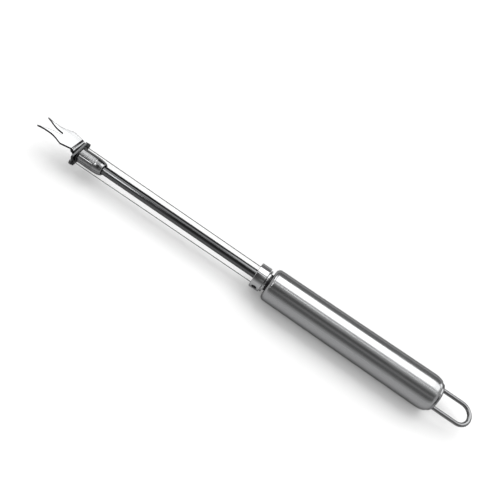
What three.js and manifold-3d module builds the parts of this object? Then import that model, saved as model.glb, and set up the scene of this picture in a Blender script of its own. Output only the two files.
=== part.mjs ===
// Wire cheese slicer: a round steel handle with a hang loop, a straight shaft, two taut cutting
// wires beside it, and at the front a knurled nut that pushes the wire yoke and serving fork forward.
// Millimetres. The tool lies along X with the fork towards -X, its wires in a level plane, +Z up.
import * as THREE from 'three';
import { mergeVertices } from 'three/addons/utils/BufferGeometryUtils.js';
import Module from 'manifold-3d';

const wasm = await Module();
wasm.setup();

// Handle shell: a drawn tube, slightly thicker towards the hang loop
const HANDLE_LENGTH = 103.5;
const HANDLE_FRONT_DIAMETER = 19.1;
const HANDLE_REAR_DIAMETER = 20.4;
const HANDLE_WALL = 1;
const FRONT_FILLET = 2.5;
const REAR_SHOULDER_LENGTH = 5.4;
const REAR_MOUTH_DIAMETER = 15.8;
const REAR_LIP = 0.8;

// Bush that closes the handle's front and carries the shaft
const BUSH_DEPTH = 11;
const NOSE_DIAMETER = 9.6;
const NOSE_REACH = 1;

// Rear cap and hang loop
const CAP_DIAMETER = 16.8;
const CAP_THICKNESS = 1.7;
const CAP_EDGE = 1.3;
const PLUG_DEPTH = 2.5;
const LOOP_ROD_DIAMETER = 2.4;
const LOOP_LEG_SPACING = 12.2;
const LOOP_REACH = 21.3;
const LEG_HEAD_DIAMETER = 3;
const LEG_HEAD_LENGTH = 1;

// Shaft, its reduced front spigot and its threaded tail in the handle
const SHAFT_DIAMETER = 5;
const SPIGOT_DIAMETER = 4;
const SPIGOT_REACH = 3.4;
const SHAFT_SEAT_DEPTH = 1;
const SHAFT_END_CHAMFER = 0.4;
const TAIL_DIAMETER = 4;
const TAIL_PROTRUSION = 1.6;
const TAIL_NUT_ACROSS_FLATS = 7;
const TAIL_NUT_HEIGHT = 3.2;
const TAIL_WASHER_DIAMETER = 9;
const TAIL_WASHER_THICKNESS = 0.8;

// Collar that anchors the wires in front of the handle, and the plain ring behind it
const COLLAR_DIAMETER = 14.4;
const COLLAR_LENGTH = 6;
const COLLAR_CHAMFER = 0.35;
const ANCHOR_HOLE_DIAMETER = 2.9;
const ANCHOR_HOLE_SETBACK = 2.95;
const COLLAR_WIRE_HOLE_DIAMETER = 1;
const SPACER_DIAMETER = 12.9;
const SPACER_THICKNESS = 1.05;

// Tension nut: knurled grip at the front, bullet-shaped tail towards the handle
const NUT_TO_COLLAR = 100.3;
const NUT_DIAMETER = 8.9;
const NUT_GRIP_LENGTH = 9.6;
const NUT_TAIL_LENGTH = 5.2;
const NUT_TAIL_DIAMETER = 6.5;
const NUT_BACKING_OFF = 4;
const NUT_THREAD_LENGTH = 7;
const KNURL_COUNT = 28;
const KNURL_DEPTH = 0.3;
const THRUST_WASHER_DIAMETER = 9.6;
const THRUST_WASHER_THICKNESS = 0.5;

// Wire yoke: a flat bar with one round ear on each end
const YOKE_THICKNESS = 1.2;
const YOKE_HEIGHT = 8.2;
const YOKE_BAR_LENGTH = 13.6;
const YOKE_CORNER = 1.2;
const YOKE_SPAN = 17.4;
const EAR_RADIUS = 1.7;

// Serving fork: sheet bent square, a foot that narrows towards the spigot and two tines forward
const SHEET = 1.2;
const BEND_RADIUS = 0.8;
const FORK_FACE_HEIGHT = 5.7;
const FORK_TURN_DEGREES = -8.6;
const FOOT_DIAMETER = 7.2;
const FOOT_LAND = 0.4;
const FORK_LENGTH = 24.9;
const FOLD_WIDTH = 9.8;
const SHOULDER_WIDTH = 12.4;
const SHOULDER_REACH = 8.2;
const WAIST_WIDTH = 7.8;
const WAIST_REACH = 17.6;
const TIP_SPACING = 8.3;
const TIP_WIDTH = 0.9;
const SLOT_WIDTH = 1.6;
const SLOT_ROOT_REACH = 11.7;

// Cutting wires and the crimped stops on their ends
const WIRE_DIAMETER = 0.45;
const WIRE_SPACING_FRONT = 12.5;
const WIRE_SPACING_REAR = 11.2;
const FRONT_STOP_DIAMETER = 1.5;
const FRONT_STOP_LENGTH = 0.7;
const REAR_STOP_DIAMETER = 1.6;
const REAR_STOP_LENGTH = 1.9;

// Clearances
const SEAT_GAP = 0.15;
const BORE_CLEARANCE = 0.2;
const WIRE_CLEARANCE = 0.15;

// How far cutters run out of a solid, and how far joined forms reach into each other
const CUT_OVERRUN = 1;
const JOIN_OVERLAP = 0.4;

// Facets of round pieces
const HANDLE_FACETS = 40;
const SHAFT_FACETS = 32;
const SMALL_FACETS = 16;
const ANCHOR_FACETS = 20;
const LOOP_FACETS = 12;
const LOOP_STEPS = 44;
const WIRE_FACETS = 8;
const ARC_STEPS = 5;

// Handle length of a cubic curve that follows a quarter circle, per unit of radius
const QUARTER_CIRCLE_PULL = 4 / 3 * (Math.SQRT2 - 1);

// Places along the axis, counted from the handle's front lip
const noseFront = -NOSE_REACH;
const spacerRear = noseFront - SEAT_GAP;
const spacerFront = spacerRear - SPACER_THICKNESS;
const collarRear = spacerFront - SEAT_GAP;
const collarFront = collarRear - COLLAR_LENGTH;
const anchorX = collarFront + ANCHOR_HOLE_SETBACK;
const nutRear = collarFront - NUT_TO_COLLAR;
const nutFront = nutRear - NUT_TAIL_LENGTH - NUT_GRIP_LENGTH;
const shaftShoulder = nutFront + NUT_THREAD_LENGTH + NUT_BACKING_OFF;
const thrustRear = nutFront - SEAT_GAP;
const thrustFront = thrustRear - THRUST_WASHER_THICKNESS;
const yokeRear = thrustFront - SEAT_GAP;
const yokeFront = yokeRear - YOKE_THICKNESS;
const footRear = yokeFront - SEAT_GAP;
const footFront = footRear - SHEET;
const spigotFront = footFront - SPIGOT_REACH;
const forkTip = footRear - FORK_LENGTH;
const bushFront = HANDLE_WALL + SEAT_GAP;
const bushRear = bushFront + BUSH_DEPTH;
const tailWasherFront = bushRear + SEAT_GAP;
const tailWasherRear = tailWasherFront + TAIL_WASHER_THICKNESS;
const tailNutFront = tailWasherRear + SEAT_GAP;
const tailNutRear = tailNutFront + TAIL_NUT_HEIGHT;
const tailRear = tailNutRear + TAIL_PROTRUSION;
const capFront = HANDLE_LENGTH + SEAT_GAP;
const capRear = capFront + CAP_THICKNESS;
const plugFront = capFront - PLUG_DEPTH;
const loopRear = capRear + LOOP_REACH;

// Bores that run on a rod, bar or wire
const tailBore = TAIL_DIAMETER + 2 * BORE_CLEARANCE;
const shaftBore = SHAFT_DIAMETER + 2 * BORE_CLEARANCE;
const spigotBore = SPIGOT_DIAMETER + 2 * BORE_CLEARANCE;
const legBore = LOOP_ROD_DIAMETER + 2 * SEAT_GAP;
const wireBore = WIRE_DIAMETER + 2 * WIRE_CLEARANCE;

// The origin is under the middle of the tool, where the handle's lowest facet touches the table.
const middle = (forkTip + loopRear) / 2;
const axisHeight = HANDLE_REAR_DIAMETER / 2 * Math.cos(Math.PI / HANDLE_FACETS);

// A closed solid from a geometry: shared vertices merged, empty triangles left out, faces outward.
function solidOf(geometry) {
  const bare = geometry.clone();
  for (const name of Object.keys(bare.attributes)) {
    if (name !== 'position') bare.deleteAttribute(name);
  }
  const merged = mergeVertices(bare, 1e-4);
  const points = merged.attributes.position.array;
  const corners = merged.index.array;
  const kept = [];
  let volume = 0;
  for (let i = 0; i < corners.length; i += 3) {
    const [a, b, c] = corners.slice(i, i + 3);
    if (a === b || b === c || c === a) continue;
    kept.push([a, b, c]);
    const [p, q, r] = [a, b, c].map((k) => new THREE.Vector3().fromArray(points, 3 * k));
    volume += p.dot(q.cross(r));
  }
  const outward = volume > 0 ? kept : kept.map(([a, b, c]) => [a, c, b]);
  const mesh = new wasm.Mesh({
    numProp: 3,
    vertProperties: new Float32Array(points),
    triVerts: new Uint32Array(outward.flat()),
  });
  return new wasm.Manifold(mesh);
}

function geometryOf(solid) {
  const { numProp, vertProperties, triVerts } = solid.getMesh();
  const positions = [];
  for (let i = 0; i < vertProperties.length; i += numProp) {
    positions.push(...vertProperties.slice(i, i + 3));
  }
  const geometry = new THREE.BufferGeometry();
  geometry.setAttribute('position', new THREE.Float32BufferAttribute(positions, 3));
  geometry.setIndex([...triVerts]);
  geometry.computeVertexNormals();
  return geometry;
}

// A body of revolution round X from [x, radius] points, with a flat facet facing straight down.
function revolve(profile, facets) {
  const points = profile.map(([x, radius]) => new THREE.Vector2(radius, x));
  const lathe = new THREE.LatheGeometry(points, facets, Math.PI / facets, 2 * Math.PI);
  return solidOf(lathe.rotateZ(-Math.PI / 2));
}

function bar(diameter, from, to, facets) {
  const radius = diameter / 2;
  return revolve([[from, 0], [from, radius], [to, radius], [to, 0]], facets);
}

function ring(outerDiameter, innerDiameter, from, to, facets) {
  const outer = outerDiameter / 2;
  const inner = innerDiameter / 2;
  return revolve([[from, inner], [from, outer], [to, outer], [to, inner], [from, inner]], facets);
}

// Points of a quarter ellipse from angle 0 to 90 degrees, with the start and end included.
function quarter(steps, place) {
  return Array.from({ length: steps + 1 }, (_, i) => place(i / steps * Math.PI / 2));
}

// A flat shape drawn in Y and Z, made into a plate between two places along X.
function plate(shape, from, to, curveSegments) {
  const options = { depth: to - from, bevelEnabled: false, curveSegments };
  const geometry = new THREE.ExtrudeGeometry(shape, options);
  const turn = new THREE.Matrix4().makeBasis(
    new THREE.Vector3(0, 1, 0), new THREE.Vector3(0, 0, 1), new THREE.Vector3(1, 0, 0));
  return solidOf(geometry.applyMatrix4(turn).translate(from, 0, 0));
}

// A round rod swept along a curve.
function rod(diameter, path, steps, facets) {
  const section = new THREE.Shape();
  section.absarc(0, 0, diameter / 2, 0, 2 * Math.PI, false);
  const options = { extrudePath: path, steps, curveSegments: facets / 2, bevelEnabled: false };
  return solidOf(new THREE.ExtrudeGeometry(section, options));
}

function handleRadius(x) {
  const taper = (HANDLE_REAR_DIAMETER - HANDLE_FRONT_DIAMETER) / 2;
  const straight = HANDLE_LENGTH - REAR_SHOULDER_LENGTH - FRONT_FILLET;
  return HANDLE_FRONT_DIAMETER / 2 + taper * (x - FRONT_FILLET) / straight;
}

// Half section of the handle's front end, drawn a given depth inside the outer skin.
function frontCorner(depth) {
  const centre = HANDLE_FRONT_DIAMETER / 2 - FRONT_FILLET;
  const radius = FRONT_FILLET - depth;
  return quarter(ARC_STEPS, (a) => [FRONT_FILLET - radius * Math.cos(a), centre + radius * Math.sin(a)]);
}

// Half section of the handle's rear shoulder, drawn a given depth inside the outer skin.
function rearShoulder(depth) {
  const start = HANDLE_LENGTH - REAR_SHOULDER_LENGTH;
  const top = handleRadius(start) - depth;
  const mouth = REAR_MOUTH_DIAMETER / 2 + REAR_LIP * (1 - depth / HANDLE_WALL);
  const length = REAR_SHOULDER_LENGTH - depth;
  return quarter(ARC_STEPS, (a) => [start + length * Math.sin(a), mouth + (top - mouth) * Math.cos(a)]);
}

function makeHandleShell() {
  const mouth = NOSE_DIAMETER / 2 + BORE_CLEARANCE;
  const outer = [[0, mouth], ...frontCorner(0), ...rearShoulder(0)];
  const inner = [...frontCorner(HANDLE_WALL), ...rearShoulder(HANDLE_WALL)].reverse();
  const rearMouth = [HANDLE_LENGTH, REAR_MOUTH_DIAMETER / 2];
  return revolve([...outer, rearMouth, ...inner, [HANDLE_WALL, mouth], [0, mouth]], HANDLE_FACETS);
}

function makeFrontBush() {
  const bore = tailBore / 2;
  const nose = NOSE_DIAMETER / 2;
  const corner = frontCorner(HANDLE_WALL + SEAT_GAP);
  const skirt = corner[ARC_STEPS][1];
  const front = [[noseFront, bore], [noseFront, nose], [bushFront, nose]];
  const rear = [[bushRear, skirt], [bushRear, bore], [noseFront, bore]];
  return revolve([...front, ...corner, ...rear], HANDLE_FACETS);
}

function makeRearCap() {
  const rim = CAP_DIAMETER / 2;
  const plug = REAR_MOUTH_DIAMETER / 2 - SEAT_GAP;
  const edge = quarter(ARC_STEPS, (a) => [
    capRear - CAP_EDGE * (1 - Math.sin(a)), rim - CAP_EDGE * (1 - Math.cos(a))]);
  const spigot = [[plugFront, 0], [plugFront, plug], [capFront, plug]];
  let cap = revolve([...spigot, [capFront, rim], ...edge, [capRear, 0]], HANDLE_FACETS);
  for (const side of [-1, 1]) {
    const hole = bar(legBore, plugFront - CUT_OVERRUN, capRear + CUT_OVERRUN, SMALL_FACETS);
    cap = cap.subtract(hole.translate([0, side * LOOP_LEG_SPACING / 2, 0]));
  }
  return cap;
}

// The loop's legs pass through the cap and are headed over inside it.
function makeHangLoop() {
  const half = LOOP_LEG_SPACING / 2;
  const headRear = plugFront - SEAT_GAP;
  const headFront = headRear - LEG_HEAD_LENGTH;
  const bendX = loopRear - LOOP_ROD_DIAMETER / 2 - half;
  const path = new THREE.CurvePath();
  const corners = [[headFront, -half], [bendX, -half], [bendX, half], [headFront, half]];
  const [a, b, c, d] = corners.map(([x, y]) => new THREE.Vector3(x, y, 0));
  const reach = QUARTER_CIRCLE_PULL * half;
  const apex = new THREE.Vector3(bendX + half, 0, 0);
  const along = new THREE.Vector3(reach, 0, 0);
  const across = new THREE.Vector3(0, reach, 0);
  path.add(new THREE.LineCurve3(a, b));
  path.add(new THREE.CubicBezierCurve3(b, b.clone().add(along), apex.clone().sub(across), apex));
  path.add(new THREE.CubicBezierCurve3(apex, apex.clone().add(across), c.clone().add(along), c));
  path.add(new THREE.LineCurve3(c, d));
  let loop = rod(LOOP_ROD_DIAMETER, path, LOOP_STEPS, LOOP_FACETS);
  for (const side of [-1, 1]) {
    const head = bar(LEG_HEAD_DIAMETER, headFront, headRear, SMALL_FACETS);
    loop = loop.add(head.translate([0, side * half, 0]));
  }
  return loop;
}

function makeShaft() {
  const shaftSeat = collarFront + SHAFT_SEAT_DEPTH;
  const body = SHAFT_DIAMETER / 2;
  const spigot = SPIGOT_DIAMETER / 2;
  const tail = TAIL_DIAMETER / 2;
  const chamfer = SHAFT_END_CHAMFER;
  return revolve([
    [spigotFront, 0], [spigotFront, spigot - chamfer], [spigotFront + chamfer, spigot],
    [shaftShoulder, spigot], [shaftShoulder, body], [shaftSeat, body], [shaftSeat, tail],
    [tailRear - chamfer, tail], [tailRear, tail - chamfer], [tailRear, 0],
  ], SHAFT_FACETS);
}

function makeTailNut() {
  const acrossCorners = TAIL_NUT_ACROSS_FLATS / Math.cos(Math.PI / 6);
  const bore = bar(tailBore, tailNutFront - CUT_OVERRUN, tailNutRear + CUT_OVERRUN, SHAFT_FACETS);
  return bar(acrossCorners, tailNutFront, tailNutRear, 6).subtract(bore);
}

// Both wires enter the collar's front face and end in a cross hole that takes the crimped stop.
function makeWireCollar() {
  const outer = COLLAR_DIAMETER / 2;
  const bore = tailBore / 2;
  const seat = shaftBore / 2;
  const seatFloor = collarFront + SHAFT_SEAT_DEPTH + SEAT_GAP;
  const chamfer = COLLAR_CHAMFER;
  let collar = revolve([
    [collarFront, seat], [collarFront, outer - chamfer], [collarFront + chamfer, outer],
    [collarRear - chamfer, outer], [collarRear, outer - chamfer], [collarRear, bore],
    [seatFloor, bore], [seatFloor, seat], [collarFront, seat],
  ], HANDLE_FACETS);
  const wireY = WIRE_SPACING_REAR / 2;
  const floor = wireY - REAR_STOP_DIAMETER / 2 - WIRE_CLEARANCE;
  const depth = outer + CUT_OVERRUN - floor;
  for (const side of [-1, 1]) {
    const radius = ANCHOR_HOLE_DIAMETER / 2;
    const anchor = new THREE.CylinderGeometry(radius, radius, depth, ANCHOR_FACETS);
    collar = collar.subtract(solidOf(anchor.translate(anchorX, side * (floor + depth / 2), 0)));
    const wireHole = bar(COLLAR_WIRE_HOLE_DIAMETER, collarFront - CUT_OVERRUN, anchorX, SMALL_FACETS);
    collar = collar.subtract(wireHole.translate([0, side * wireY, 0]));
  }
  return collar;
}

// Rings of points joined into a closed body. Each square between four points is split across the
// two that lie nearer the axis, so that a raised point stands as a pyramid.
function joinRings(rings) {
  const count = rings[0].length;
  const ends = [rings[0], rings[rings.length - 1]];
  const centres = ends.map(([first]) => new THREE.Vector3(first.x, 0, 0));
  const points = [...rings.flat(), ...centres];
  const rise = (k) => Math.hypot(points[k].y, points[k].z);
  const corners = [];
  for (let j = 0; j + 1 < rings.length; j++) {
    for (let i = 0; i < count; i++) {
      const a = j * count + i;
      const b = j * count + (i + 1) % count;
      const [c, d] = [b + count, a + count];
      const lowAcross = rise(a) + rise(c) <= rise(b) + rise(d);
      corners.push(...(lowAcross ? [a, b, c, a, c, d] : [a, b, d, b, c, d]));
    }
  }
  const last = (rings.length - 1) * count;
  for (let i = 0; i < count; i++) {
    const next = (i + 1) % count;
    corners.push(points.length - 2, next, i);
    corners.push(points.length - 1, last + i, last + next);
  }
  const geometry = new THREE.BufferGeometry().setFromPoints(points);
  return solidOf(geometry.setIndex(corners));
}

// Diamond knurl: on a grid of half pitches round and along the grip every second point is a peak.
function makeKnurledGrip() {
  const columns = 2 * KNURL_COUNT;
  const peak = NUT_DIAMETER / 2;
  const halfPitch = Math.PI * NUT_DIAMETER / columns;
  const rows = 2 * Math.round(NUT_GRIP_LENGTH / halfPitch / 2);
  const rings = Array.from({ length: rows + 1 }, (_, j) => Array.from({ length: columns }, (_, i) => {
    const plain = j === 0 || j === rows;
    const radius = plain || (i + j) % 2 ? peak - KNURL_DEPTH : peak;
    const angle = i / columns * 2 * Math.PI;
    const x = nutFront + j / rows * NUT_GRIP_LENGTH;
    return new THREE.Vector3(x, radius * Math.cos(angle), radius * Math.sin(angle));
  }));
  return joinRings(rings);
}

function makeTensionNut() {
  const gripRear = nutFront + NUT_GRIP_LENGTH;
  const neck = NUT_DIAMETER / 2 - KNURL_DEPTH / 2;
  const end = NUT_TAIL_DIAMETER / 2;
  const bullet = quarter(2 * ARC_STEPS, (a) => [
    gripRear + NUT_TAIL_LENGTH * Math.sin(a), end + (neck - end) * Math.cos(a)]);
  const root = gripRear - JOIN_OVERLAP;
  const tail = revolve([[root, 0], [root, neck], ...bullet, [nutRear, 0]], SHAFT_FACETS);
  const thread = bar(spigotBore, nutFront - CUT_OVERRUN, nutRear + CUT_OVERRUN, SHAFT_FACETS);
  const sleeveFloor = nutFront + NUT_THREAD_LENGTH;
  const sleeve = bar(shaftBore, sleeveFloor, nutRear + CUT_OVERRUN, SHAFT_FACETS);
  return makeKnurledGrip().add(tail).subtract(thread).subtract(sleeve);
}

// A bar with rounded corners and a round ear on each end, drilled for the spigot and the wires.
function makeWireYoke() {
  const cornerY = YOKE_BAR_LENGTH / 2 - YOKE_CORNER;
  const cornerZ = YOKE_HEIGHT / 2 - YOKE_CORNER;
  const corners = [[cornerY, cornerZ], [-cornerY, cornerZ], [-cornerY, -cornerZ], [cornerY, -cornerZ]];
  const outline = new THREE.Shape();
  corners.forEach(([y, z], i) => {
    outline.absarc(y, z, YOKE_CORNER, i * Math.PI / 2, (i + 1) * Math.PI / 2, false);
  });
  let yoke = plate(outline, yokeFront, yokeRear, ARC_STEPS);
  const earY = YOKE_SPAN / 2 - EAR_RADIUS;
  for (const side of [-1, 1]) {
    const ear = bar(2 * EAR_RADIUS, yokeFront, yokeRear, SHAFT_FACETS);
    yoke = yoke.add(ear.translate([0, side * earY, 0]));
  }
  const front = yokeFront - CUT_OVERRUN;
  const rear = yokeRear + CUT_OVERRUN;
  yoke = yoke.subtract(bar(spigotBore, front, rear, SHAFT_FACETS));
  const stopFloor = yokeFront + FRONT_STOP_LENGTH + SEAT_GAP;
  for (const side of [-1, 1]) {
    const y = side * WIRE_SPACING_FRONT / 2;
    const hole = bar(wireBore, front, rear, SMALL_FACETS);
    const pocket = bar(FRONT_STOP_DIAMETER + 2 * WIRE_CLEARANCE, front, stopFloor, SMALL_FACETS);
    yoke = yoke.subtract(hole.add(pocket).translate([0, y, 0]));
  }
  return yoke;
}

// Outline of the fork's blade, with reach counted forward from the foot: one half from the fold round
// the tine to the root of the slot, then its mirror image back.
function forkBlade(fold) {
  const tip = TIP_SPACING / 2;
  const slot = SLOT_WIDTH / 2;
  const shoulder = SHOULDER_WIDTH / 2;
  const waist = WAIST_WIDTH / 2;
  const slotFloor = SLOT_ROOT_REACH + slot;
  const nibStart = FORK_LENGTH - TIP_WIDTH / 2;
  const flare = (WAIST_REACH - SHOULDER_REACH) / 2;
  const tipRun = (nibStart - WAIST_REACH) / 2;
  const half = new THREE.Path();
  half.moveTo(fold, FOLD_WIDTH / 2);
  half.lineTo(SHOULDER_REACH, shoulder);
  half.bezierCurveTo(
    SHOULDER_REACH + flare / 2, shoulder - (shoulder - waist) / 4,
    WAIST_REACH - flare, waist, WAIST_REACH, waist);
  half.quadraticCurveTo(WAIST_REACH + tipRun, waist, nibStart, tip + TIP_WIDTH / 2);
  half.quadraticCurveTo(FORK_LENGTH, tip + TIP_WIDTH / 2, nibStart, tip);
  half.bezierCurveTo(WAIST_REACH + tipRun, tip - TIP_WIDTH, WAIST_REACH, slot, slotFloor, slot);
  half.absarc(slotFloor, 0, slot, Math.PI / 2, Math.PI, false);
  const far = half.getPoints(ARC_STEPS + 1);
  const near = far.slice(0, -1).reverse().map(({ x, y }) => new THREE.Vector2(x, -y));
  return new THREE.Shape([...far, ...near]);
}

function makeForkPlate() {
  const bendOuter = BEND_RADIUS + SHEET;
  const underside = FORK_FACE_HEIGHT - SHEET;
  const outline = forkBlade(bendOuter - JOIN_OVERLAP);
  const blade = new THREE.ExtrudeGeometry(outline, { depth: SHEET, bevelEnabled: false });
  blade.scale(-1, 1, 1).translate(footRear, 0, underside);

  // The fold is one bent strip, drawn from its side and drawn out across the fork.
  const fold = new THREE.Shape();
  const centre = new THREE.Vector2(footRear - bendOuter, FORK_FACE_HEIGHT - bendOuter);
  fold.moveTo(centre.x - JOIN_OVERLAP, FORK_FACE_HEIGHT);
  fold.absarc(centre.x, centre.y, bendOuter, Math.PI / 2, 0, true);
  fold.lineTo(footRear, centre.y - FOOT_LAND / 2);
  fold.lineTo(footFront, centre.y - FOOT_LAND / 2);
  fold.absarc(centre.x, centre.y, BEND_RADIUS, 0, Math.PI / 2, false);
  fold.lineTo(centre.x - JOIN_OVERLAP, underside);
  const options = { depth: FOLD_WIDTH, bevelEnabled: false, curveSegments: ARC_STEPS };
  const strip = new THREE.ExtrudeGeometry(fold, options);
  strip.rotateX(Math.PI / 2).translate(0, FOLD_WIDTH / 2, 0);

  const hole = bar(spigotBore, footFront - CUT_OVERRUN, footRear + CUT_OVERRUN, SHAFT_FACETS);
  // The foot keeps the fold's width for a short land, then narrows along tangents to its round end.
  const [half, land] = [FOLD_WIDTH / 2, centre.y - FOOT_LAND];
  const side = Math.atan2(land, half) - Math.acos(FOOT_DIAMETER / 2 / Math.hypot(half, land));
  const tab = new THREE.Shape();
  tab.moveTo(half, centre.y);
  tab.lineTo(-half, centre.y);
  tab.lineTo(-half, land);
  tab.absarc(0, 0, FOOT_DIAMETER / 2, Math.PI - side, 2 * Math.PI + side, false);
  tab.lineTo(half, land);
  const foot = plate(tab, footFront, footRear, SHAFT_FACETS / 2);
  const sheet = solidOf(blade).add(solidOf(strip)).add(foot);
  return sheet.subtract(hole).rotate([FORK_TURN_DEGREES, 0, 0]);
}

// One cutting wire with its two crimped stops, on the near (-1) or far (+1) side of the shaft.
function makeWireSet(side) {
  const frontY = side * WIRE_SPACING_FRONT / 2;
  const rearY = side * WIRE_SPACING_REAR / 2;
  const frontStop = [yokeFront + SEAT_GAP / 2, yokeFront + SEAT_GAP / 2 + FRONT_STOP_LENGTH];
  const anchorRadius = ANCHOR_HOLE_DIAMETER / 2 * Math.cos(Math.PI / ANCHOR_FACETS);
  const rearStopFront = anchorX - Math.sqrt(anchorRadius ** 2 - REAR_STOP_DIAMETER ** 2 / 4) + SEAT_GAP;
  const rearStop = [rearStopFront, rearStopFront + REAR_STOP_LENGTH];
  const start = new THREE.Vector3(frontStop[0], frontY, 0);
  const end = new THREE.Vector3(rearStop[1], rearY, 0);
  return {
    wire: rod(WIRE_DIAMETER, new THREE.LineCurve3(start, end), 1, WIRE_FACETS),
    front: ring(FRONT_STOP_DIAMETER, wireBore, ...frontStop, SMALL_FACETS).translate([0, frontY, 0]),
    rear: ring(REAR_STOP_DIAMETER, wireBore, ...rearStop, SMALL_FACETS).translate([0, rearY, 0]),
  };
}

const BRUSHED_STEEL = { color: 0xb4b6b8, roughness: 0.34, metalness: 1 };
const POLISHED_STEEL = { color: 0xd6d8da, roughness: 0.14, metalness: 1 };
const BLACK_NYLON = { color: 0x0d0d0e, roughness: 0.55, metalness: 0 };

const tool = new THREE.Group();
tool.position.set(-middle, 0, axisHeight);

function addPiece(name, solid, finish) {
  const piece = new THREE.Mesh(geometryOf(solid), new THREE.MeshStandardMaterial(finish));
  piece.name = name;
  tool.add(piece);
}

const tailWasher = ring(TAIL_WASHER_DIAMETER, tailBore, tailWasherFront, tailWasherRear, SHAFT_FACETS);
const spacer = ring(SPACER_DIAMETER, tailBore, spacerFront, spacerRear, HANDLE_FACETS);
const thrustWasher = ring(THRUST_WASHER_DIAMETER, spigotBore, thrustFront, thrustRear, SHAFT_FACETS);
addPiece('handle_shell', makeHandleShell(), BRUSHED_STEEL);
addPiece('handle_front_bush', makeFrontBush(), POLISHED_STEEL);
addPiece('handle_rear_cap', makeRearCap(), POLISHED_STEEL);
addPiece('hang_loop', makeHangLoop(), POLISHED_STEEL);
addPiece('shaft', makeShaft(), POLISHED_STEEL);
addPiece('tail_washer', tailWasher, POLISHED_STEEL);
addPiece('tail_nut', makeTailNut(), POLISHED_STEEL);
addPiece('wire_collar', makeWireCollar(), POLISHED_STEEL);
addPiece('collar_spacer', spacer, POLISHED_STEEL);
addPiece('tension_nut', makeTensionNut(), BRUSHED_STEEL);
addPiece('thrust_washer', thrustWasher, BLACK_NYLON);
addPiece('wire_yoke', makeWireYoke(), BRUSHED_STEEL);
addPiece('fork_plate', makeForkPlate(), POLISHED_STEEL);
for (const [place, side] of [['near', -1], ['far', 1]]) {
  const set = makeWireSet(side);
  addPiece(`wire_${place}`, set.wire, POLISHED_STEEL);
  addPiece(`front_stop_${place}`, set.front, POLISHED_STEEL);
  addPiece(`rear_stop_${place}`, set.rear, POLISHED_STEEL);
}

const slicer = new THREE.Group();
slicer.add(tool);
export default slicer;
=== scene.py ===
"""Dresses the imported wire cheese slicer: turned steel pieces, a knurled nut, a bent fork and taut wires."""

import math

import bmesh
import bpy
from mathutils import Matrix, Vector
from mathutils.geometry import interpolate_bezier


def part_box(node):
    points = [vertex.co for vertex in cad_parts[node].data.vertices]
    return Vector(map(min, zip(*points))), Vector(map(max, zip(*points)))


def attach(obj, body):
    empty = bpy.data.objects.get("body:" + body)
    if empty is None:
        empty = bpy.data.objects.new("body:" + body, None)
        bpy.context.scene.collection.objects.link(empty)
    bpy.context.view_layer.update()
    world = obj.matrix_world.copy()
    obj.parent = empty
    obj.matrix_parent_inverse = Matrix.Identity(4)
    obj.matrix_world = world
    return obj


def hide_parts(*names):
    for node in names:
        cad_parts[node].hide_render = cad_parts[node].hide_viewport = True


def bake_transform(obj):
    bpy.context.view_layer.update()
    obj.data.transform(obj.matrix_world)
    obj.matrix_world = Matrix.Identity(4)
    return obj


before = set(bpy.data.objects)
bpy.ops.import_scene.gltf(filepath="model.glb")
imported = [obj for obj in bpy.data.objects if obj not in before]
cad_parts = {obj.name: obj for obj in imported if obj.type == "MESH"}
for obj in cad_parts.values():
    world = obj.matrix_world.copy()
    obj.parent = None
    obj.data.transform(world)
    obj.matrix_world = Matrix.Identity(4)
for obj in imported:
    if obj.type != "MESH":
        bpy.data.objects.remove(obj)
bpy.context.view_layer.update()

bl_info = {
    "name": "Wire Cheese Slicer",
    "version": (1, 0, 0),
    "blender": (4, 5, 0),
    "location": "View3D > Sidebar > Slicer",
    "description": "Builds the visible pieces, finishes and studio of a wire cheese slicer",
    "category": "Object",
}

MM = 0.001
HANDLE, CARRIAGE, NUT = "handle", "fork_carriage", "tension_nut"


def span(node):
    """First and last place of a solid along the tool."""
    low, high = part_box(node)
    return low.x, high.x


def half_height(node):
    """Half of a solid's height, the radius of a round one."""
    low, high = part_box(node)
    return (high.z - low.z) / 2


AXIS = (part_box("shaft")[0].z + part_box("shaft")[1].z) / 2
NEAR, FAR = -1, 1
VERT, EDGE = bmesh.types.BMVert, bmesh.types.BMEdge
ALONG, ACROSS = Matrix.Rotation(math.pi / 2, 4, "Y"), Matrix.Rotation(math.pi / 2, 4, "X")
WELD, SLIVER = 1e-7, 1e-6
RUNNING_PLAY, SEAT_PLAY = 0.2 * MM, 0.15 * MM
PEAKS, TURNED_SHEEN = "peaks", 0.6
CUT_EDGE = 1
CURVE_STEPS, TIP_STEPS, FOLD_STEPS, FOOT_STEPS = 14, 5, 10, 64
EAR_STEPS, CORNER_STEPS = 24, 8
HOLE_ANGLE = 50
THREAD_SINK, RIDGE_WIDTH, CREST_PARTS = 1.4, 0.98, 8
BEAD_BORE, BEAD_WAIST, PINCH_PARTS = 1.05, 0.86, 5
FLOOR_SIZE, CLIP_START = 6.0, 0.01
WHITE = (1.0, 1.0, 1.0, 1.0)
STEEL_EDGE = (0.4, 0.4, 0.4, 1.0)
GRAIN_RELIEF, WASHER_RELIEF = 0.02 * MM, 0.05 * MM

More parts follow.
